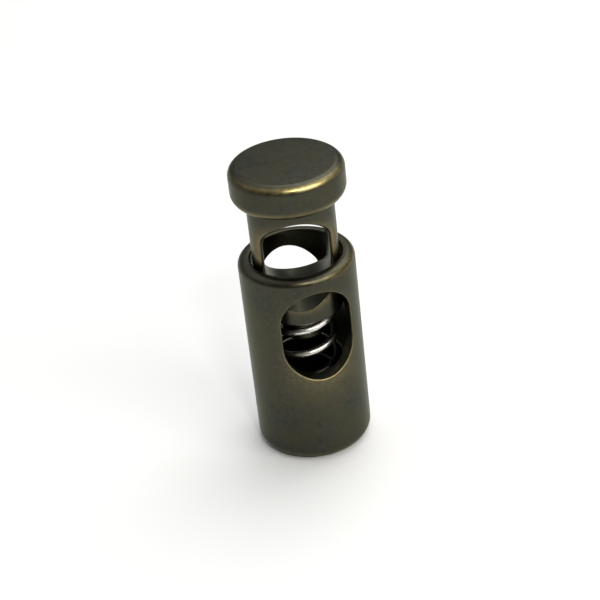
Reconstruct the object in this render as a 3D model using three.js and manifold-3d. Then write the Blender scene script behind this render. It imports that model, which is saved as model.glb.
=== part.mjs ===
// Spring cord lock (cord stopper) in antique brass finish, in millimetres, +Z up, standing on its base.
// A plunger slides in a round barrel on a spring. A cord goes through the cross hole in both pieces:
// pressing the head lines the holes up, and letting it go pinches the cord between their edges.
import * as THREE from 'three';
import { mergeVertices } from 'three/addons/utils/BufferGeometryUtils.js';
import Module from 'manifold-3d';

const wasm = await Module();
wasm.setup();

// ---- driving dimensions ----
const roundSides = 72; // facets round the barrel and the plunger
const cornerSteps = 4; // facets in each rounded corner

const barrelRadius = 5;
const barrelHeight = 18.35;
const barrelFootRound = 1.1;
const barrelLipRound = 0.7;
const edgeBreak = 0.2; // small round on the other edges
const boreRadius = 3.9;
const ledgeHeight = 8; // the bore ends here in a ledge, and the spring's pocket goes on down
const pocketRadius = 3;
const floorHeight = 1.4;

const barrelHole = { halfWidth: 3.05, bottom: 8.45, top: 16.9 };
const plungerHole = { halfWidth: 2.75, bottom: 14.7, top: 22.95 };
const holeArcSides = 20; // facets in each round end of a cross hole

const headRadius = 4.87;
const headUnderside = 23.8;
const headTop = 27;
const headTopRound = 0.8;
const headUnderRound = 1;
const stemRadius = 3.7;
const stemEnd = 13.35;
const spigotRadius = 1.85; // centres the spring's top end
const spigotEnd = 10.6;
const spigotRound = 0.3;
const plungerTurn = THREE.MathUtils.degToRad(-12); // the free plunger lies turned in its bore

const wireRadius = 0.3;
const coilRadius = 2.6; // to the middle of the wire
const activeTurns = 4.35;
const coilGap = 0.06; // between an end coil's tip and the next coil
const seatGap = 0.02; // above and below the spring
const coilFront = { angle: THREE.MathUtils.degToRad(-105.5), height: 12.05 }; // a place on the top active coil
const wireSides = 8;
const stepsPerTurn = 24;

// ---- shapes ----
function corner(points, centreX, centreY, radius, startDegrees, endDegrees) {
  for (let i = 0; i <= cornerSteps; i += 1) {
    const a = THREE.MathUtils.degToRad(startDegrees + ((endDegrees - startDegrees) * i) / cornerSteps);
    points.push(new THREE.Vector2(centreX + radius * Math.cos(a), centreY + radius * Math.sin(a)));
  }
}

function turned(points) {
  return new THREE.LatheGeometry(points, roundSides).rotateX(Math.PI / 2);
}

function holeCutter(hole) {
  const shape = new THREE.Shape();
  shape.absarc(0, hole.top - hole.halfWidth, hole.halfWidth, 0, Math.PI);
  shape.absarc(0, hole.bottom + hole.halfWidth, hole.halfWidth, Math.PI, 2 * Math.PI);
  shape.closePath();
  const depth = 4 * barrelRadius;
  const settings = { depth, bevelEnabled: false, curveSegments: holeArcSides / 2 };
  return new THREE.ExtrudeGeometry(shape, settings).translate(0, 0, -depth / 2).rotateX(Math.PI / 2);
}

function solid(geometry) {
  const bare = geometry.clone();
  bare.deleteAttribute('normal');
  bare.deleteAttribute('uv');
  const merged = mergeVertices(bare, 1e-5);
  const vertProperties = new Float32Array(merged.attributes.position.array);
  const triVerts = new Uint32Array(merged.index.array);
  return new wasm.Manifold(new wasm.Mesh({ numProp: 3, vertProperties, triVerts }));
}

function drilled(body, cutter) {
  const { vertProperties, triVerts } = solid(body).subtract(solid(cutter)).getMesh();
  const geometry = new THREE.BufferGeometry();
  geometry.setAttribute('position', new THREE.BufferAttribute(vertProperties, 3));
  geometry.setIndex(new THREE.BufferAttribute(triVerts, 1));
  geometry.computeVertexNormals();
  return geometry;
}

function barrelGeometry() {
  const points = [new THREE.Vector2(0, 0)];
  corner(points, barrelRadius - barrelFootRound, barrelFootRound, barrelFootRound, -90, 0);
  corner(points, barrelRadius - barrelLipRound, barrelHeight - barrelLipRound, barrelLipRound, 0, 90);
  corner(points, boreRadius + edgeBreak, barrelHeight - edgeBreak, edgeBreak, 90, 180);
  points.push(new THREE.Vector2(boreRadius, ledgeHeight));
  corner(points, pocketRadius + edgeBreak, ledgeHeight - edgeBreak, edgeBreak, 90, 180);
  points.push(new THREE.Vector2(pocketRadius, floorHeight));
  points.push(new THREE.Vector2(0, floorHeight));
  return drilled(turned(points), holeCutter(barrelHole));
}

function plungerGeometry() {
  const points = [new THREE.Vector2(0, spigotEnd)];
  corner(points, spigotRadius - spigotRound, spigotEnd + spigotRound, spigotRound, -90, 0);
  points.push(new THREE.Vector2(spigotRadius, stemEnd));
  corner(points, stemRadius - edgeBreak, stemEnd + edgeBreak, edgeBreak, -90, 0);
  points.push(new THREE.Vector2(stemRadius, headUnderside));
  corner(points, headRadius - headUnderRound, headUnderside + headUnderRound, headUnderRound, -90, 0);
  corner(points, headRadius - headTopRound, headTop - headTopRound, headTopRound, 0, 90);
  points.push(new THREE.Vector2(0, headTop));
  return drilled(turned(points), holeCutter(plungerHole));
}

// The wire climbs at a constant pitch, and lies flat for the last part of each closed end coil.
class SpringWire extends THREE.Curve {
  constructor() {
    super();
    this.low = floorHeight + seatGap + wireRadius;
    this.high = stemEnd - seatGap - wireRadius;
    this.endRise = 2 * wireRadius + coilGap;
    this.pitch = (this.high - this.low - 2 * this.endRise) / activeTurns;
    this.turns = activeTurns + 2;
    this.middle = (this.low + this.high) / 2;
    const climbed = (coilFront.height - this.middle) / this.pitch;
    this.startAngle = coilFront.angle - 2 * Math.PI * (this.turns / 2 + climbed);
  }

  heightAt(turn) {
    const fromMiddle = turn - this.turns / 2;
    const intoEnd = Math.abs(fromMiddle) - activeTurns / 2;
    let rise = this.pitch * Math.abs(fromMiddle);
    if (intoEnd > 0) {
      const easing = (2 * this.endRise) / this.pitch;
      const eased = Math.min(intoEnd, easing);
      rise = this.pitch * (activeTurns / 2 + eased - (eased * eased) / (2 * easing));
    }
    return this.middle + Math.sign(fromMiddle) * rise;
  }

  getPoint(t, target = new THREE.Vector3()) {
    const turn = t * this.turns;
    const angle = this.startAngle + 2 * Math.PI * turn;
    return target.set(coilRadius * Math.cos(angle), coilRadius * Math.sin(angle), this.heightAt(turn));
  }
}

function springGeometry() {
  const section = new THREE.Shape();
  section.absarc(0, 0, wireRadius, 0, 2 * Math.PI);
  const wire = new SpringWire();
  const steps = Math.round(wire.turns * stepsPerTurn);
  const settings = { extrudePath: wire, steps, curveSegments: wireSides / 2, bevelEnabled: false };
  return new THREE.ExtrudeGeometry(section, settings);
}

// ---- materials and assembly ----
const antiqueBrass = new THREE.MeshStandardMaterial({ color: 0x5c5440, roughness: 0.42, metalness: 0.9 });
const springSteel = new THREE.MeshStandardMaterial({ color: 0xc9c6c0, roughness: 0.2, metalness: 1 });

function piece(name, geometry, material) {
  const mesh = new THREE.Mesh(geometry, material);
  mesh.name = name;
  return mesh;
}

const cordLock = new THREE.Group();
cordLock.add(piece('barrel', barrelGeometry(), antiqueBrass));
cordLock.add(piece('spring', springGeometry(), springSteel));
const plunger = piece('plunger', plungerGeometry(), antiqueBrass);
plunger.rotation.z = plungerTurn;
cordLock.add(plunger);

export default cordLock;
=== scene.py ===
import math

import bmesh
import bpy
from mathutils import Matrix, Vector


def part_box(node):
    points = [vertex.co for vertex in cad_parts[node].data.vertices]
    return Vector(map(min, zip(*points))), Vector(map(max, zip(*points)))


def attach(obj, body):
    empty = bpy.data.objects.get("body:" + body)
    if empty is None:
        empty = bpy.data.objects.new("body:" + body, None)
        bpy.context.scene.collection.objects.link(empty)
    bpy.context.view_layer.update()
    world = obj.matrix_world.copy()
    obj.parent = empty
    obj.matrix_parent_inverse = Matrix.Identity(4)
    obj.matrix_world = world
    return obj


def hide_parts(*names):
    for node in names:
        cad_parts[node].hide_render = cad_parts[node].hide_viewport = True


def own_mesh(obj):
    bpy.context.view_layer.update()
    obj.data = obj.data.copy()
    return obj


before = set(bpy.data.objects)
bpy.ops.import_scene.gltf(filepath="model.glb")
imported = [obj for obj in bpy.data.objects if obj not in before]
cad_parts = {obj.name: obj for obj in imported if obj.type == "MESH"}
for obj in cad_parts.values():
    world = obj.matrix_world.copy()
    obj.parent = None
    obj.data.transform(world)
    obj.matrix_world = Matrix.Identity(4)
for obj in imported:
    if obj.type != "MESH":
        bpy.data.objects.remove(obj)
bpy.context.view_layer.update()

MM = 0.001
LAMP_DISTANCE = 0.5  # metres from the middle of the lock's base


def box_mm(node):
    low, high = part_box(node)
    return low / MM, high / MM


barrel_low, barrel_high = box_mm("barrel")
plunger_low, plunger_high = box_mm("plunger")
spring_low, spring_high = box_mm("spring")

# ---- sizes in millimetres ----
BARREL_RADIUS = barrel_high.x
BARREL_TOP = barrel_high.z
FOOT_ROUND = 1.1
LIP_ROUND = 0.7
BORE_RADIUS = 3.9
BORE_EDGE = 0.2
LEDGE = 8.0
POCKET_RADIUS = 3.0
POCKET_EDGE = 0.2
FLOOR = 1.4
FLOOR_FILLET = 0.3

HEAD_RADIUS = plunger_high.x
HEAD_TOP = plunger_high.z
HEAD_UNDERSIDE = 23.8
HEAD_TOP_ROUND = 0.8
HEAD_UNDER_ROUND = 1.0
STEM_RADIUS = 3.7
STEM_END = 13.35
STEM_EDGE = 0.12
NECK_FILLET = 0.15
SPIGOT_RADIUS = 1.85
SPIGOT_END = plunger_low.z
SPIGOT_ROUND = 0.3
PLUNGER_TURN = math.radians(-12)

BARREL_HOLE = {"half_width": 3.05, "bottom": 8.45, "top": 16.9}
PLUNGER_HOLE = {"half_width": 2.75, "bottom": 14.7, "top": 22.95}
BARREL_MOUTH_ROUND = 0.14
BORE_MOUTH_ROUND = 0.08
STEM_MOUTH_ROUND = 0.1
STEM_MOUTH_FLARE = 0.45

WIRE_RADIUS = 0.3
COIL_RADIUS = spring_high.x - WIRE_RADIUS
ACTIVE_TURNS = 4.35
COIL_GAP = 0.06
COIL_FRONT_ANGLE = math.radians(-105.5)
COIL_FRONT_HEIGHT = 12.05

# ---- how fine the meshes are ----
HALF_ROUND_STEPS = 72
SIDE_STEPS = 44
PATCH_RINGS = 14
ROUND_STEPS = 10
CORNER_STEPS = 20
TUNNEL_STEPS = 12
WIRE_SIDES = 18
WIRE_STEPS_PER_TURN = 72


# ---- mesh building ----
class Skin:
    """Rings of points joined into quads. Each point carries a mask that mixes in bright metal, for real wear
    and for painted highlights and shade.
    """

    def __init__(self):
        self.mesh = bmesh.new()
        self.wear_and_painted_light = self.mesh.verts.layers.float.new("wear_and_painted_light")

    def ring(self, points, wear_and_painted_light):
        made = []
        for point, amount in zip(points, wear_and_painted_light):
            vertex = self.mesh.verts.new(Vector(point) * MM)
            vertex[self.wear_and_painted_light] = amount
            made.append(vertex)
        return made

    def bridge(self, one, other):
        for i in range(len(one)):
            j = (i + 1) % len(one)
            self.mesh.faces.new((one[i], one[j], other[j], other[i]))

    def chain(self, rings):
        made = [self.ring(points, wear_and_painted_light) for points, wear_and_painted_light in rings]
        for one, other in zip(made, made[1:]):
            self.bridge(one, other)
        return made

    def cap(self, ring):
        self.mesh.faces.new(ring)

    def turned(self, profile, cap_start=False, cap_end=False, painted_highlight_side=None):
        """Turns (radius, height, mask) points about the axis, the mask strongest towards the painted
        highlight side, where the lamps light the edge.
        """
        steps = 2 * HALF_ROUND_STEPS
        angles = [2 * math.pi * i / steps for i in range(steps)]
        rings = []
        for radius, height, wear_and_painted_light in profile:
            amounts = [wear_and_painted_light * towards(a, painted_highlight_side) for a in angles]
            rings.append(([on_cylinder(radius, a, height) for a in angles], amounts))
        made = self.chain(rings)
        if cap_start:
            self.cap(made[0])
        if cap_end:
            self.cap(made[-1])

    def finish(self, name, sharp_degrees=40):
        bmesh.ops.remove_doubles(self.mesh, verts=self.mesh.verts, dist=1e-4 * MM)
        bmesh.ops.recalc_face_normals(self.mesh, faces=self.mesh.faces)
        data = bpy.data.meshes.new(name)
        self.mesh.to_mesh(data)
        self.mesh.free()
        for polygon in data.polygons:
            polygon.use_smooth = True
        data.set_sharp_from_angle(angle=math.radians(sharp_degrees))
        piece = bpy.data.objects.new(name, data)
        bpy.context.scene.collection.objects.link(piece)
        return piece


def on_cylinder(radius, angle, height):
    """Angle 0 faces -Y, where the cross hole opens, and grows towards +X."""
    return (radius * math.sin(angle), -radius * math.cos(angle), height)


def swell(value, middle, width):
    """Rises smoothly from 0 to 1 at the middle and falls back to 0."""
    away = min(abs(value - middle) / width, 1)
    return 0.5 + 0.5 * math.cos(math.pi * away)


def share_between(value, low, high):
    """0 up to the low value, 1 from the high one on, and a straight rise between them."""
    return min(max((value - low) / (high - low), 0.0), 1.0)


def towards(angle, side):
    """How far a direction lies to the painted highlight side: 0.2 to 1, or 1 where no side is given."""
    if side is None:
        return 1.0
    away = abs(math.remainder(angle - math.radians(side), 2 * math.pi))
    return 0.2 + 0.8 * swell(away, 0, math.radians(75))


def corner(centre_radius, centre_height, radius, start, end, wear_and_painted_light=0.0, middle=0.5, width=0.5):
    """A rounded corner of a profile, its mask of wear and painted highlight strongest in the middle of its
    band.
    """
    points = []
    for i in range(CORNER_STEPS + 1):
        share = i / CORNER_STEPS
        a = math.radians(start + (end - start) * share)
        amount = wear_and_painted_light * swell(share, middle, width)
        points.append((centre_radius + radius * math.cos(a), centre_height + radius * math.sin(a), amount))
    return points


def hole_edge(hole, direction):
    """Where a ray from the middle of an obround hole meets its edge: (across, height, normal)."""
    half_width = hole["half_width"]
    middle = (hole["bottom"] + hole["top"]) / 2
    straight = (hole["top"] - hole["bottom"]) / 2 - half_width
    c, s = math.cos(direction), math.sin(direction)
    if abs(s) * half_width <= straight * abs(c):
        side = math.copysign(1, c)
        return side * half_width, middle + side * half_width * s / c, (side, 0.0)
    reach = straight * abs(s) + math.sqrt(half_width**2 - (straight * c) ** 2)
    rise = reach * s - math.copysign(straight, s)
    return reach * c, middle + reach * s, (reach * c / half_width, rise / half_width)


def patch_border(radius, low, high):
    """The border of half of a cylinder's wall, as (angle, height), once round."""
    quarter = math.pi / 2
    border = []
    for i in range(HALF_ROUND_STEPS):
        border.append((-quarter + math.pi * i / HALF_ROUND_STEPS, low))
    for i in range(SIDE_STEPS):
        border.append((quarter, low + (high - low) * i / SIDE_STEPS))
    for i in range(HALF_ROUND_STEPS):
        border.append((quarter - math.pi * i / HALF_ROUND_STEPS, high))
    for i in range(SIDE_STEPS):
        border.append((-quarter, high - (high - low) * i / SIDE_STEPS))
    return border


def directions_to(border, radius, hole):
    """The directions in which the points of a border lie from the middle of a hole."""
    middle = (hole["bottom"] + hole["top"]) / 2
    return [math.atan2(height - middle, radius * angle) for angle, height in border]


def mouth(radius, border, directions, hole, rounding, inward, halo, lip, flare=0.0):
    """Rings over half of a cylinder's wall, from its border to the cross hole, and round its edge into it.
    inward is 1 where the material lies towards the axis, as outside a stem, and -1 in a bore.
    flare is how much larger the rounding is at the hole's sides.
    halo and lip say how much the wall beside the hole and its rounded edge show bright brass, for wear and
    for painted highlight, by the edge's normal."""
    starts, edges, ends, halos, lips = [], [], [], [], []
    for direction in directions:
        across, height, normal = hole_edge(hole, direction)
        edge_angle = math.asin(across / radius)
        half_corner = math.acos(inward * normal[0] * across / radius) / 2
        reach = (rounding + flare * normal[0] ** 2) / math.tan(half_corner)
        starts.append((edge_angle + reach * normal[0] / radius, height + reach * normal[1]))
        edge = Vector(on_cylinder(radius, edge_angle, height))
        edges.append(edge)
        ends.append(edge + Vector((0, inward * reach, 0)))
        halos.append(halo(normal))
        lips.append(lip(normal))
    rings = []
    for k in range(PATCH_RINGS + 1):
        share = (1 - k / PATCH_RINGS) ** 1.4
        points = []
        for (angle, height), (start_angle, start_height) in zip(border, starts):
            a = start_angle + (angle - start_angle) * share
            points.append(on_cylinder(radius, a, start_height + (height - start_height) * share))
        near = (1 - share) ** 5
        rings.append((points, [near * amount for amount in halos]))
    border_of_round = rings[-1][0]
    for k in range(1, ROUND_STEPS + 1):
        t = k / ROUND_STEPS
        points = []
        for start, edge, end in zip(border_of_round, edges, ends):
            points.append(Vector(start) * (1 - t) ** 2 + edge * (2 * t * (1 - t)) + end * t**2)
        on_lip = swell(t, 0.3, 0.22)
        amounts = [a * (1 - t) + b * on_lip for a, b in zip(halos, lips)]
        rings.append((points, amounts))
    return rings


def facing_back(rings):
    return [([(-x, -y, z) for x, y, z in points], wear_and_painted_light) for points, wear_and_painted_light in rings]


def tunnel(start, end):
    """Rings of the hole's wall between two rings that lie along Y from each other."""
    rings = []
    for k in range(TUNNEL_STEPS + 1):
        t = k / TUNNEL_STEPS
        points = [Vector(a) * (1 - t) + Vector(b) * t for a, b in zip(start, end)]
        rings.append((points, [0.0] * len(points)))
    return rings


def below(normal):
    """1 at the bottom of a hole, falling to 0 halfway up its sides."""
    return max(-normal[1], 0.0)


def above(normal):
    return max(normal[1], 0.0)


# ---- pieces ----
def make_barrel():
    skin = Skin()
    lip_start = BARREL_TOP - LIP_ROUND
    bore_top = BARREL_TOP - BORE_EDGE
    skin.turned(
        corner(BARREL_RADIUS - FOOT_ROUND, FOOT_ROUND, FOOT_ROUND, -90, 0, wear_and_painted_light=0.1, middle=0.6, width=0.4),
        cap_start=True,
    )
    # The rim's brass is partly wear and partly a painted highlight, strongest on the right, where the lamps
    # light it.
    skin.turned(
        corner(BARREL_RADIUS - LIP_ROUND, lip_start, LIP_ROUND, 0, 90, wear_and_painted_light=0.26, middle=0.38, width=0.38)
        + corner(BORE_RADIUS + BORE_EDGE, bore_top, BORE_EDGE, 90, 180, wear_and_painted_light=0.1),
        painted_highlight_side=55,
    )
    skin.turned(
        [(BORE_RADIUS, LEDGE, 0.0)]
        + corner(POCKET_RADIUS + POCKET_EDGE, LEDGE - POCKET_EDGE, POCKET_EDGE, 90, 180)
        + [(POCKET_RADIUS, FLOOR + FLOOR_FILLET, 0.0)]
        + corner(POCKET_RADIUS - FLOOR_FILLET, FLOOR + FLOOR_FILLET, FLOOR_FILLET, 0, -90)[1:],
        cap_end=True,
    )
    outer_border = patch_border(BARREL_RADIUS, FOOT_ROUND, lip_start)
    bore_border = patch_border(BORE_RADIUS, LEDGE, bore_top)
    ways = directions_to(outer_border, BARREL_RADIUS, BARREL_HOLE)
    outside = mouth(
        BARREL_RADIUS, outer_border, ways, BARREL_HOLE, BARREL_MOUTH_ROUND, 1,
        halo=lambda normal: 0.03 + 0.09 * below(normal),
        lip=lambda normal: 0.1 + 1.0 * below(normal) ** 1.3,
    )
    bore = mouth(
        BORE_RADIUS, bore_border, ways, BARREL_HOLE, BORE_MOUTH_ROUND, -1,
        halo=lambda normal: 0.0,
        lip=lambda normal: 0.0,
    )
    for turn in (list, facing_back):
        outer, inner = turn(outside), turn(bore)
        skin.chain(outer)
        skin.chain(inner)
        skin.chain(tunnel(outer[-1][0], inner[-1][0]))
    return skin.finish("barrel_casting")


def make_plunger():
    skin = Skin()
    stem_low = STEM_END + STEM_EDGE
    stem_high = HEAD_UNDERSIDE - NECK_FILLET
    under_middle = HEAD_UNDERSIDE + HEAD_UNDER_ROUND
    top_middle = HEAD_TOP - HEAD_TOP_ROUND
    skin.turned(
        corner(SPIGOT_RADIUS - SPIGOT_ROUND, SPIGOT_END + SPIGOT_ROUND, SPIGOT_ROUND, -90, 0, wear_and_painted_light=0.2)
        + corner(SPIGOT_RADIUS + NECK_FILLET, STEM_END - NECK_FILLET, NECK_FILLET, 180, 90)
        + corner(STEM_RADIUS - STEM_EDGE, stem_low, STEM_EDGE, -90, 0, wear_and_painted_light=0.1),
        cap_start=True,
    )
    skin.turned(
        corner(STEM_RADIUS + NECK_FILLET, stem_high, NECK_FILLET, 180, 90)
        + corner(
            HEAD_RADIUS - HEAD_UNDER_ROUND, under_middle, HEAD_UNDER_ROUND, -90, 0,
            wear_and_painted_light=0.22, middle=0.6, width=0.4,
        ),
    )
    # The top edge's brass is partly wear and partly a painted highlight, strongest towards the front, where
    # the front lamps shine on it.
    skin.turned(
        corner(
            HEAD_RADIUS - HEAD_TOP_ROUND, top_middle, HEAD_TOP_ROUND, 0, 90,
            wear_and_painted_light=0.9, middle=0.42, width=0.3,
        ),
        cap_end=True,
        painted_highlight_side=12,
    )
    skin.turned([(HEAD_RADIUS, under_middle, 0.0), (HEAD_RADIUS, top_middle, 0.0)])
    border = patch_border(STEM_RADIUS, stem_low, stem_high)
    ways = directions_to(border, STEM_RADIUS, PLUNGER_HOLE)
    # Beside the stem's hole, the brass at the bottom is wear; the brass on the hole's sides and under its
    # top edge is painted highlight where the flanks and the lip catch the light.
    front = mouth(
        STEM_RADIUS, border, ways, PLUNGER_HOLE, STEM_MOUTH_ROUND, 1,
        halo=lambda normal: 0.03 + 0.07 * below(normal) + 0.08 * normal[0] ** 4,
        lip=lambda normal: 0.03 + 0.22 * above(normal) ** 6 + 0.1 * normal[0] ** 4,
        flare=STEM_MOUTH_FLARE,
    )
    back = [([(x, -y, z) for x, y, z in points], wear_and_painted_light) for points, wear_and_painted_light in front]
    skin.chain(front)
    skin.chain(back)
    skin.chain(tunnel(front[-1][0], back[-1][0]))
    bmesh.ops.rotate(skin.mesh, verts=skin.mesh.verts, matrix=Matrix.Rotation(PLUNGER_TURN, 3, "Z"))
    return skin.finish("plunger_casting")


def spring_line():
    """Points along the wire's middle, with its closed end coils lying flat."""
    low, high = spring_low.z + WIRE_RADIUS, spring_high.z - WIRE_RADIUS
    end_rise = 2 * WIRE_RADIUS + COIL_GAP
    pitch = (high - low - 2 * end_rise) / ACTIVE_TURNS
    turns = ACTIVE_TURNS + 2
    middle = (low + high) / 2
    start_angle = COIL_FRONT_ANGLE - 2 * math.pi * (turns / 2 + (COIL_FRONT_HEIGHT - middle) / pitch)
    easing = 2 * end_rise / pitch
    line = []
    steps = round(turns * WIRE_STEPS_PER_TURN)
    for i in range(steps + 1):
        turn = turns * i / steps
        from_middle = abs(turn - turns / 2)
        into_end = min(max(from_middle - ACTIVE_TURNS / 2, 0), easing)
        rise = pitch * (min(from_middle, ACTIVE_TURNS / 2) + into_end - into_end**2 / (2 * easing))
        angle = start_angle + 2 * math.pi * turn
        height = middle + math.copysign(rise, turn - turns / 2)
        line.append(Vector((COIL_RADIUS * math.cos(angle), COIL_RADIUS * math.sin(angle), height)))
    return line


def make_spring():
    skin = Skin()
    line = spring_line()
    rings = []
    for i, point in enumerate(line):
        along = (line[min(i + 1, len(line) - 1)] - line[max(i - 1, 0)]).normalized()
        outward = Vector((point.x, point.y, 0)).normalized()
        upward = along.cross(outward).normalized()
        # Painted light and shade: the front and back arcs of the upper coils get bright steel on the wire's
        # outer side, and the lower coils, the arcs' ends and the wire's inner side are painted dark as
        # shade.
        painted_coil_light = share_between(abs(outward.y), 0.45, 0.85) * share_between(point.z, LEDGE, LEDGE + 1.2)
        section, wear_and_painted_light = [], []
        for k in range(WIRE_SIDES):
            a = 2 * math.pi * k / WIRE_SIDES
            section.append(point + WIRE_RADIUS * (math.cos(a) * outward + math.sin(a) * upward))
            wear_and_painted_light.append(painted_coil_light * share_between(math.cos(a), -0.3, 0.5))
        rings.append((section, wear_and_painted_light))
    made = skin.chain(rings)
    skin.cap(made[0])
    skin.cap(made[-1])
    return skin.finish("spring_coil")


# ---- materials ----
class Nodes:
    """A short way to write a node tree."""

    def __init__(self, name):
        self.material = bpy.data.materials.new(name)
        self.material.use_nodes = True
        self.tree = self.material.node_tree
        self.shader = self.tree.nodes["Principled BSDF"]
        coordinates = self.tree.nodes.new("ShaderNodeTexCoord")
        scaled = self.add("ShaderNodeVectorMath", operation="SCALE")
        self.tree.links.new(coordinates.outputs["Object"], scaled.inputs[0])
        scaled.inputs["Scale"].default_value = 1 / MM
        self.place = scaled.outputs[0]

    def add(self, kind, **settings):
        node = self.tree.nodes.new(kind)
        for key, value in settings.items():
            setattr(node, key, value)
        return node

    def link(self, source, target):
        self.tree.links.new(source, target)

    def noise(self, per_mm, detail=4.0, roughness=0.55, place=None):
        node = self.add("ShaderNodeTexNoise")
        node.inputs["Scale"].default_value = per_mm
        node.inputs["Detail"].default_value = detail
        node.inputs["Roughness"].default_value = roughness
        self.link(place or self.place, node.inputs["Vector"])
        return node.outputs["Fac"]

    def ramp(self, source, low, high, start, end):
        node = self.add("ShaderNodeMapRange", clamp=True)
        self.link(source, node.inputs["Value"])
        for key, value in (("From Min", start), ("From Max", end), ("To Min", low), ("To Max", high)):
            node.inputs[key].default_value = value
        return node.outputs["Result"]

    def math(self, operation, one, other):
        node = self.add("ShaderNodeMath", operation=operation, use_clamp=True)
        for socket, value in zip(node.inputs, (one, other)):
            if isinstance(value, (int, float)):
                socket.default_value = value
            else:
                self.link(value, socket)
        return node.outputs[0]

    def mix(self, share, one, other):
        node = self.add("ShaderNodeMix", data_type="RGBA")
        self.link(share, node.inputs["Factor"])
        a, b = [s for s in node.inputs if s.type == "RGBA"]
        for socket, value in ((a, one), (b, other)):
            if isinstance(value, tuple):
                socket.default_value = (*value, 1)
            else:
                self.link(value, socket)
        return next(s for s in node.outputs if s.type == "RGBA")

    def bump(self, height, depth_mm, strength=1.0, below=None):
        node = self.add("ShaderNodeBump")
        node.inputs["Strength"].default_value = strength
        node.inputs["Distance"].default_value = depth_mm * MM
        self.link(height, node.inputs["Height"])
        if below:
            self.link(below, node.inputs["Normal"])
        return node.outputs["Normal"]


def antique_brass():
    n = Nodes("antique_brass")
    clouds = n.noise(0.3, detail=3)
    mottle = n.noise(2.2, detail=6, roughness=0.65)
    grain = n.noise(11, detail=3, roughness=0.6)
    dark = n.mix(n.ramp(mottle, 0, 1, 0.38, 0.62), (0.038, 0.041, 0.034), (0.054, 0.054, 0.043))
    patina = n.mix(n.ramp(clouds, 0, 1, 0.4, 0.62), dark, (0.055, 0.053, 0.036))
    wear_and_painted_light = n.add("ShaderNodeAttribute", attribute_name="wear_and_painted_light").outputs["Fac"]
    # The vertex mask mixes in bright brass: real wear on rubbed edges and painted highlights on edges that
    # face the lamps.
    wear_and_painted_light_share = n.math("MULTIPLY", wear_and_painted_light, n.ramp(mottle, 0.8, 1.1, 0.35, 0.62))
    flecks = n.math("MULTIPLY", n.ramp(grain, 0, 1, 0.58, 0.72), 0.08)
    brass = n.mix(n.ramp(mottle, 0, 1, 0.4, 0.6), (0.54, 0.43, 0.18), (0.60, 0.49, 0.23))
    n.link(n.mix(n.math("ADD", wear_and_painted_light_share, flecks), patina, brass), n.shader.inputs["Base Color"])
    n.shader.inputs["Metallic"].default_value = 1.0
    # The plating brightens less at grazing angles than bare metal does.
    n.shader.inputs["Specular Tint"].default_value = (0.74, 0.75, 0.70, 1)
    n.link(n.ramp(mottle, 0.29, 0.37, 0.3, 0.7), n.shader.inputs["Roughness"])
    waves = n.bump(clouds, 0.02, 0.4)
    n.link(n.bump(grain, 0.004, 0.5, below=waves), n.shader.inputs["Normal"])
    return n.material


def spring_steel():
    n = Nodes("spring_steel")
    smudges = n.noise(1.3, detail=4)
    streaks = n.noise(9, detail=3)
    bare = n.mix(n.ramp(smudges, 0, 1, 0.4, 0.7), (0.86, 0.84, 0.79), (0.66, 0.63, 0.57))
    wear_and_painted_light_share = n.add("ShaderNodeAttribute", attribute_name="wear_and_painted_light").outputs["Fac"]
    # Where the coil mask is low the steel is painted near black as painted shade; where it is high it shows
    # its bare colour.
    n.link(n.mix(wear_and_painted_light_share, (0.03, 0.029, 0.027), bare), n.shader.inputs["Base Color"])
    n.shader.inputs["Specular Tint"].default_value = (0.45, 0.45, 0.45, 1)
    n.shader.inputs["Metallic"].default_value = 1.0
    n.link(n.ramp(streaks, 0.24, 0.38, 0.3, 0.7), n.shader.inputs["Roughness"])
    n.link(n.bump(streaks, 0.003, 0.5), n.shader.inputs["Normal"])
    return n.material


def table_top():
    n = Nodes("table_top")
    n.shader.inputs["Base Color"].default_value = (0.88, 0.885, 0.89, 1)
    n.shader.inputs["Roughness"].default_value = 0.7
    return n.material


def dress(piece, material, body, node):
    piece.data.materials.append(material)
    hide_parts(node)
    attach(piece, body)


# ---- stage ----
def make_camera():
    """The view that shows the lock from a little above, leaning to the left in the frame."""
    azimuth, elevation, roll = math.radians(-15.46), math.radians(31.64), math.radians(6.65)
    distance = 0.1455
    aim = Vector((0.0001, 0.0007, 0.01316))
    back = Vector((
        math.sin(azimuth) * math.cos(elevation),
        -math.cos(azimuth) * math.cos(elevation),
        math.sin(elevation),
    ))
    data = bpy.data.cameras.new("camera")
    data.lens = 101.1
    data.sensor_width = 36
    data.clip_start = 0.01
    data.clip_end = 10
    camera = bpy.data.objects.new("camera", data)
    facing = (-back).to_track_quat("-Z", "Y").to_matrix().to_4x4()
    camera.matrix_world = Matrix.Translation(aim + distance * back) @ facing @ Matrix.Rotation(-roll, 4, "Z")
    bpy.context.scene.collection.objects.link(camera)
    bpy.context.scene.camera = camera


def direction_from(azimuth, elevation):
    """Azimuth 0 is on the -Y side and 90 on the +X side."""
    a, e = math.radians(azimuth), math.radians(elevation)
    return Vector((math.sin(a) * math.cos(e), -math.cos(a) * math.cos(e), math.sin(e)))


def area_light(name, azimuth, elevation, size, watts, colour):
    """A square light that faces the lock."""
    out = direction_from(azimuth, elevation)
    facing = (-out).to_track_quat("-Z", "Y").to_matrix().to_4x4()
    data = bpy.data.lights.new(name, "AREA")
    data.size = size
    data.energy = watts
    data.color = colour
    light = bpy.data.objects.new(name, data)
    light.matrix_world = Matrix.Translation(out * LAMP_DISTANCE) @ facing
    bpy.context.scene.collection.objects.link(light)


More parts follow.
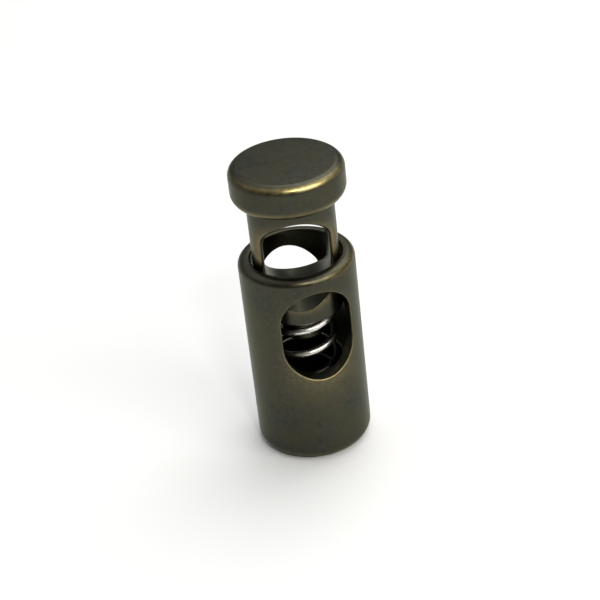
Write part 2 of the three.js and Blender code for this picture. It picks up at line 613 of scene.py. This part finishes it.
def make_room():
    """A pale room, bright overhead and dim in front."""
    world = bpy.data.worlds.new("room")
    world.use_nodes = True
    nodes, links = world.node_tree.nodes, world.node_tree.links
    way = nodes.new("ShaderNodeTexCoord")
    facing = nodes.new("ShaderNodeVectorMath")
    facing.operation = "DOT_PRODUCT"
    facing.inputs[1].default_value = direction_from(-25, 25)
    links.new(way.outputs["Generated"], facing.inputs[0])
    shade = nodes.new("ShaderNodeMapRange")
    shade.inputs["From Min"].default_value = 0.1
    shade.inputs["From Max"].default_value = 0.85
    shade.inputs["To Min"].default_value = 1.0
    shade.inputs["To Max"].default_value = 0.15
    links.new(facing.outputs["Value"], shade.inputs["Value"])
    parts = nodes.new("ShaderNodeSeparateXYZ")
    links.new(way.outputs["Generated"], parts.inputs[0])
    height = nodes.new("ShaderNodeMapRange")
    height.inputs["From Min"].default_value = 0.35
    height.inputs["To Min"].default_value = 0.3
    height.inputs["To Max"].default_value = 1.4
    links.new(parts.outputs["Z"], height.inputs["Value"])
    strength = nodes.new("ShaderNodeMath")
    strength.operation = "MULTIPLY"
    links.new(shade.outputs["Result"], strength.inputs[0])
    links.new(height.outputs["Result"], strength.inputs[1])
    background = nodes["Background"]
    background.inputs["Color"].default_value = (0.98, 0.99, 1.0, 1)
    links.new(strength.outputs[0], background.inputs["Strength"])
    bpy.context.scene.world = world


def make_stage():
    data = bpy.data.meshes.new("table")
    half = 3.0
    corners = [(-half, -half, 0), (half, -half, 0), (half, half, 0), (-half, half, 0)]
    data.from_pydata(corners, [], [(0, 1, 2, 3)])
    table = bpy.data.objects.new("table", data)
    data.materials.append(table_top())
    bpy.context.scene.collection.objects.link(table)
    make_room()
    bpy.context.scene.view_settings.view_transform = "Standard"
    area_light("key", azimuth=131, elevation=56, size=0.42, watts=1.2, colour=(1, 0.98, 0.94))
    area_light("fill", azimuth=28, elevation=38, size=0.3, watts=0.85, colour=(1, 0.98, 0.94))
    area_light("right_lamp", azimuth=48, elevation=38, size=0.14, watts=0.16, colour=(1, 0.97, 0.9))
    area_light("front_lamp", azimuth=-2, elevation=46, size=0.06, watts=0.5, colour=(1, 0.96, 0.86))


make_camera()
brass = antique_brass()
dress(make_barrel(), brass, "barrel", "barrel")
dress(make_plunger(), brass, "plunger", "plunger")
spring = make_spring()
dress(spring, spring_steel(), "spring", "spring")
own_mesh(spring)
make_stage()
